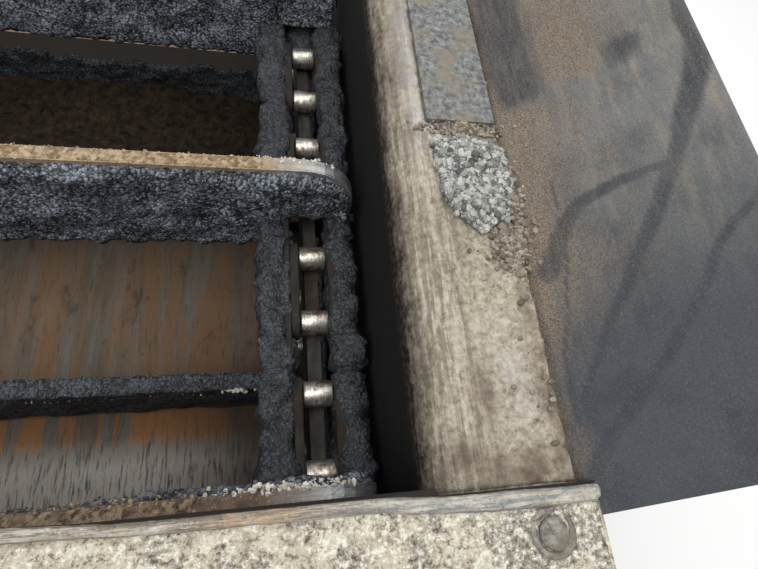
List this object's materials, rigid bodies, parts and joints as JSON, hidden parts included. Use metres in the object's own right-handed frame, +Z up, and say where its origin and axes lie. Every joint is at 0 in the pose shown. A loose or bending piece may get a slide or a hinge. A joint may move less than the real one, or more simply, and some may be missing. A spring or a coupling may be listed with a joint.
{
  "type": "drag slat conveyor foot section",
  "caption": "Open steel trough section with twin roller chains dragging slat flights, a tail shaft with sprockets and take-ups, rubber side wings and a clean-out door.",
  "frame": {"origin": "on the ground, below the middle of the section's box", "axes": "X across the trough, +Y along it from the tail to the bolted joint, +Z up"},
  "size_m": [1.1858, 1.2068, 0.6406],
  "materials": {
    "cast_iron": "rough casting",
    "chain": "steel caked with asphalt, rollers polished by use",
    "flight": "steel caked with asphalt, rusty along the scraping edge",
    "liner": "worn bright with rust streaks",
    "dusty_steel": "bare steel crusted with beige dust",
    "bare_steel": "bare plate",
    "rubber": "matte black sheet",
    "grey_rubber": "weathered pale strip",
    "frame_paint": "dusty dark grey paint",
    "machined_steel": "machined steel"
  },
  "bodies": {
    "section": {"bearing_left": "cast_iron", "bearing_right": "cast_iron", "chain_left": "chain", "chain_right": "chain", "cover_wiper": "grey_rubber", "cross_channel_1": "frame_paint", "cross_channel_2": "frame_paint", "cross_channel_3": "frame_paint", "end_plate": "frame_paint", "flight_1": "flight", "flight_2": "flight", "flight_3": "flight", "flight_4": "flight", "flight_5": "flight", "flight_6": "flight", "flight_7": "flight", "flight_8": "flight", "floor_liner": "liner", "floor_plate": "frame_paint", "foot_cover": "dusty_steel", "joint_flange": "frame_paint", "return_rail_left": "liner", "return_rail_right": "liner", "side_plate_left": "dusty_steel", "side_plate_right": "dusty_steel", "splice_plate_left": "bare_steel", "splice_plate_right": "bare_steel", "tail_shaft": "machined_steel", "tail_sprocket_left": "machined_steel", "tail_sprocket_right": "machined_steel", "take_up_guide_left": "frame_paint", "take_up_guide_right": "frame_paint", "take_up_screw_left": "machined_steel", "take_up_screw_right": "machined_steel", "wing_bracket_left": "frame_paint", "wing_bracket_right": "frame_paint", "wing_left": "rubber", "wing_right": "rubber"},
    "door": {"clean_out_door": "frame_paint"}
  },
  "joints": [
    {"name": "clean_out_door_swing", "type": "hinge", "parent": "section", "child": "door", "pos_m": [0, -0.57544, 0.48723], "axis": [-1, 0, 0], "range_deg": [0, 100]}
  ]
}
